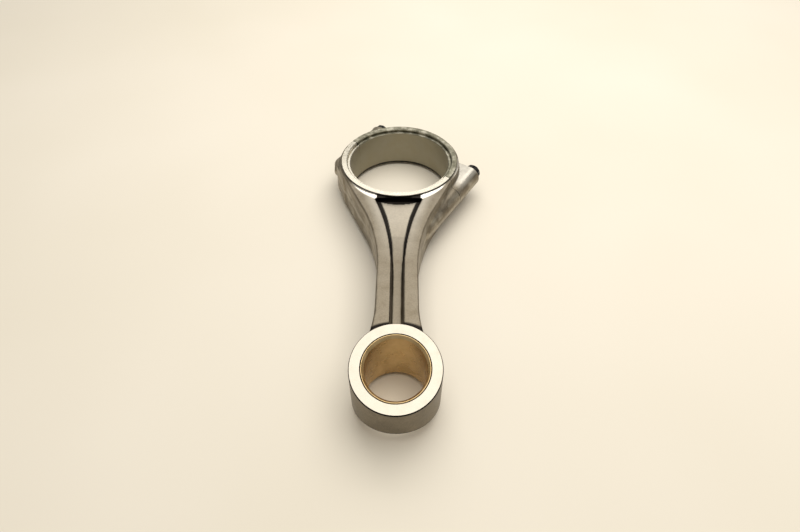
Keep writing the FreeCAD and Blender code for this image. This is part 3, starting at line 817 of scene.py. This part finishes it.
def make_shell(name, node, body, half, lining, backing):
    """Half bearing shell: a steel back, a soft lining and a pressed locating tang."""
    section = shell_section()
    start = math.atan2(ALONG.y, ALONG.x)
    relief = JOINT_RELIEF / SHELL_BACK
    steps = ROUND_STEPS // 2
    rings = []
    for i in range(steps + 1):
        angle = start + half * (relief + (math.pi - 2 * relief) * i / steps)
        rings.append([Vector((r * math.cos(angle), r * math.sin(angle), z)) for r, z in section])
    mesh = combine(loft(rings, capped=True), "UNION", [tang_block(half, 0)])
    place_piece(name, mesh, body, node, "shell_overlay", lining, backing)
    x, y, z = columns(mesh.polygons, "center")
    backed = (np.hypot(x, y) > SHELL_BORE + LINING) | (np.abs(z) > SHELL_HALF - SHELL_EDGE)
    mesh.polygons.foreach_set("material_index", backed.astype(np.int32))


def make_bush(bronze):
    """Bronze bush, its ends flush with the sloping faces of the small end."""
    rim = 0.3 * MM
    mouth = 1.5 * MM
    upper = [(PIN_BORE, 1, mouth), (PIN_BORE + mouth, 1, 0)]
    upper += [(BUSH_RADIUS - rim, 1, 0), (BUSH_RADIUS - 0.01 * MM, 1, rim)]
    lower = [(radius, -1, inset) for radius, _, inset in reversed(upper)]
    mesh = sloped_lathe(upper + lower)
    place_piece("bronze_bush", mesh, "rod", "small_end_bush", "bush_bronze", bronze)


def twelve_point(radius, angle):
    """Return the reach of the twelve-point head at an angle, held inside a circle of radius."""
    sixth = math.pi / 3
    reaches = [HEAD_FLAT / math.cos((angle + turn) % sixth - sixth / 2) for turn in (0, sixth / 2)]
    return min(max(reaches), HEAD_CORNER, radius)


def thread_reach(rise, angle):
    """Return the reach of the thread at a height over its start; it fades out at both ends."""
    full_depth = 0.85 * MM
    crest = THREAD_RADIUS - 0.04 * MM
    phase = (rise / THREAD_PITCH - angle / (2 * math.pi)) % 1
    flank = min(1, max(0, 1.35 * (1 - abs(2 * phase - 1)) - 0.1))
    start = (rise + 0.4 * THREAD_PITCH) / THREAD_PITCH
    fade = max(0, min(1, (THREAD_LENGTH - rise) / THREAD_PITCH, start))
    reach = crest - full_depth * (1 - flank * fade)
    return max(reach, NECK_RADIUS) if rise > THREAD_LENGTH - THREAD_PITCH else reach


def ring_of(reach, height, angles):
    """Return one ring of points; reach is a function of the angle."""
    return [Vector((reach(a) * math.cos(a), reach(a) * math.sin(a), height)) for a in angles]


def bolt_rings(seat):
    """Return a bolt's rings about its own axis, from its threaded end to its head."""
    end = seat - BOLT_LENGTH
    angles = circle_angles(BOLT_STEPS)
    rings = [[Vector((0, 0, end))], ring_of(lambda a: 3.6 * MM, end, angles)]
    thread_start = end + 0.6 * MM
    steps = 10
    for i in range(int(THREAD_LENGTH / THREAD_PITCH * steps) + 1):
        rise = i * THREAD_PITCH / steps
        rings.append(ring_of(lambda a: thread_reach(rise, a), thread_start + rise, angles))
    neck_end = end + THREAD_LENGTH
    shank = [(NECK_RADIUS, neck_end + 1.2 * MM), (SHANK_RADIUS, neck_end + 2.2 * MM)]
    shank += [(SHANK_RADIUS, seat - 0.02 * MM), (7.5 * MM, seat), (7.8 * MM, seat + 0.3 * MM)]
    shank += [(7.8 * MM, seat + 1.1 * MM), (7.4 * MM, seat + 1.5 * MM), (6.9 * MM, seat + 1.9 * MM)]
    for radius, height in shank:
        rings.append(ring_of(lambda a: radius, height, angles))
    head = [(8, 2.1), (8, 6.6), (6.35, 7.2), (5.7, 7.5), (4.6, 7.5), (4.1, 6.9)]
    for radius, rise in head:
        rings.append(ring_of(lambda a: twelve_point(radius * MM, a), seat + rise * MM, angles))
    rings.append([Vector((0, 0, seat + 6.8 * MM))])
    return rings


def make_bolt(side, oxide):
    """Cap bolt: rolled thread, reduced neck, flange and chamfered twelve-point head."""
    place = bolt_place(side)
    rings = [[place @ point for point in ring] for ring in bolt_rings(BOLTS[side]["seat"])]
    place_piece(f"bolt_{side}", loft(rings), f"bolt_{side}", f"cap_bolt_{side}", "bolt_steel", oxide)


def make_sleeve(side, steel):
    """Hollow locating sleeve with chamfered ends."""
    edge = 0.3 * MM
    wall = [(SLEEVE_BORE, -SLEEVE_HALF + edge), (SLEEVE_BORE, SLEEVE_HALF - edge)]
    wall += [(SLEEVE_BORE + edge, SLEEVE_HALF), (SLEEVE_RADIUS - edge, SLEEVE_HALF)]
    wall.append((SLEEVE_RADIUS, SLEEVE_HALF - edge))
    wall += [(SLEEVE_RADIUS, -SLEEVE_HALF + edge), (SLEEVE_RADIUS - edge, -SLEEVE_HALF)]
    wall.append((SLEEVE_BORE + edge, -SLEEVE_HALF))
    mesh = lathe(wall, bolt_place(side), BOLT_STEPS)
    place_piece(f"sleeve_{side}", mesh, "rod", f"dowel_{side}", "sleeve_steel", steel)


# ---------------------------------------------------------------------------- studio


def make_floor(material):
    """Table top that touches the rod where it rests: under the small end and the big end."""
    near = PIN_CENTRE.y + SMALL_END_RADIUS
    near_height = -(SMALL_END_HALF + SMALL_END_RADIUS * TAPER)
    slope = (-THRUST_HEIGHT - near_height) / (THRUST_RADIUS - near)
    reach = 4.0
    corners = []
    for x, y in ((-reach, -reach), (reach, -reach), (reach, reach), (-reach, reach)):
        corners.append(Vector((x, y, near_height + (y - near) * slope)))
    mesh = bpy.data.meshes.new("table")
    mesh.from_pydata(corners, [], [(0, 1, 2, 3)])
    new_object("table", mesh, material)


def add_softbox(name, place, aim, size, power, colour):
    """Add a rectangular area light that points at aim."""
    light = bpy.data.lights.new(name, "AREA")
    light.shape = "RECTANGLE"
    light.size, light.size_y = size
    light.energy = power
    light.color = colour
    lamp = bpy.data.objects.new(name, light)
    lamp.location = place
    lamp.rotation_euler = (Vector(aim) - Vector(place)).to_track_quat("-Z", "Y").to_euler()
    bpy.context.scene.collection.objects.link(lamp)


def make_lights():
    """Light the rod from softboxes above and behind it, with a dim room around."""
    warm = (1, 0.985, 0.95)
    add_softbox("top_softbox", (0.2, 0.1, 0.95), (0.2, 0.1, 0), (1.1, 1.1), 9.2, warm)
    add_softbox("back_softbox", (0.12, 0.87, 0.98), (0.05, 0, 0), (1.5, 0.53), 4.8, warm)
    world = bpy.data.worlds.new("studio")
    world.use_nodes = True
    background = world.node_tree.nodes["Background"]
    background.inputs["Color"].default_value = (1, 0.965, 0.9, 1)
    background.inputs["Strength"].default_value = 0.38
    bpy.context.scene.world = world


def make_camera():
    """Camera above the small end, looking along the rod to the big end."""
    camera = bpy.data.cameras.new("camera")
    camera.sensor_width = 36
    camera.lens = 24.27
    camera.clip_start = 0.01
    rig = bpy.data.objects.new("camera", camera)
    rig.location = (0.0041, -0.3744, 0.2903)
    rig.rotation_euler = (math.radians(90 - 47.28), 0, math.radians(0.535))
    bpy.context.scene.collection.objects.link(rig)
    bpy.context.scene.camera = rig
    bpy.context.scene.view_settings.view_transform = "Standard"


def main():
    clear_default_scene()
    forged = forged_material()
    turned = machined_material("machined_big_end", (0, 0, 0), BRIGHT, seam=True)
    faced = machined_material("machined_small_end", PIN_CENTRE, SATIN)
    backing = machined_material("shell_back", (0, 0, 0), BRIGHT, pitch=0.35 * MM)
    joint = machined_material("joint_face", (0, 0, 0), BRIGHT, "BANDS", 0.4 * MM)
    coated = machined_material("coated_cap_face", (0, 0, 0), COATED, seam=True, smoothest=0.36)
    make_forgings((forged, turned, faced, joint), (forged, coated, faced, joint))
    lining = lining_material()
    make_shell("shell_rod", "bearing_shell_rod", "rod", -1, lining, backing)
    make_shell("shell_cap", "bearing_shell_cap", "cap", 1, lining, coated)
    make_bush(bronze_material())
    oxide = oxide_material()
    sleeve_steel = machined_material("sleeve_steel", (0, 0, 0), BRIGHT, "BANDS")
    for side in BOLTS:
        make_bolt(side, oxide)
        make_sleeve(side, sleeve_steel)
    make_floor(table_material())
    make_lights()
    make_camera()


main()
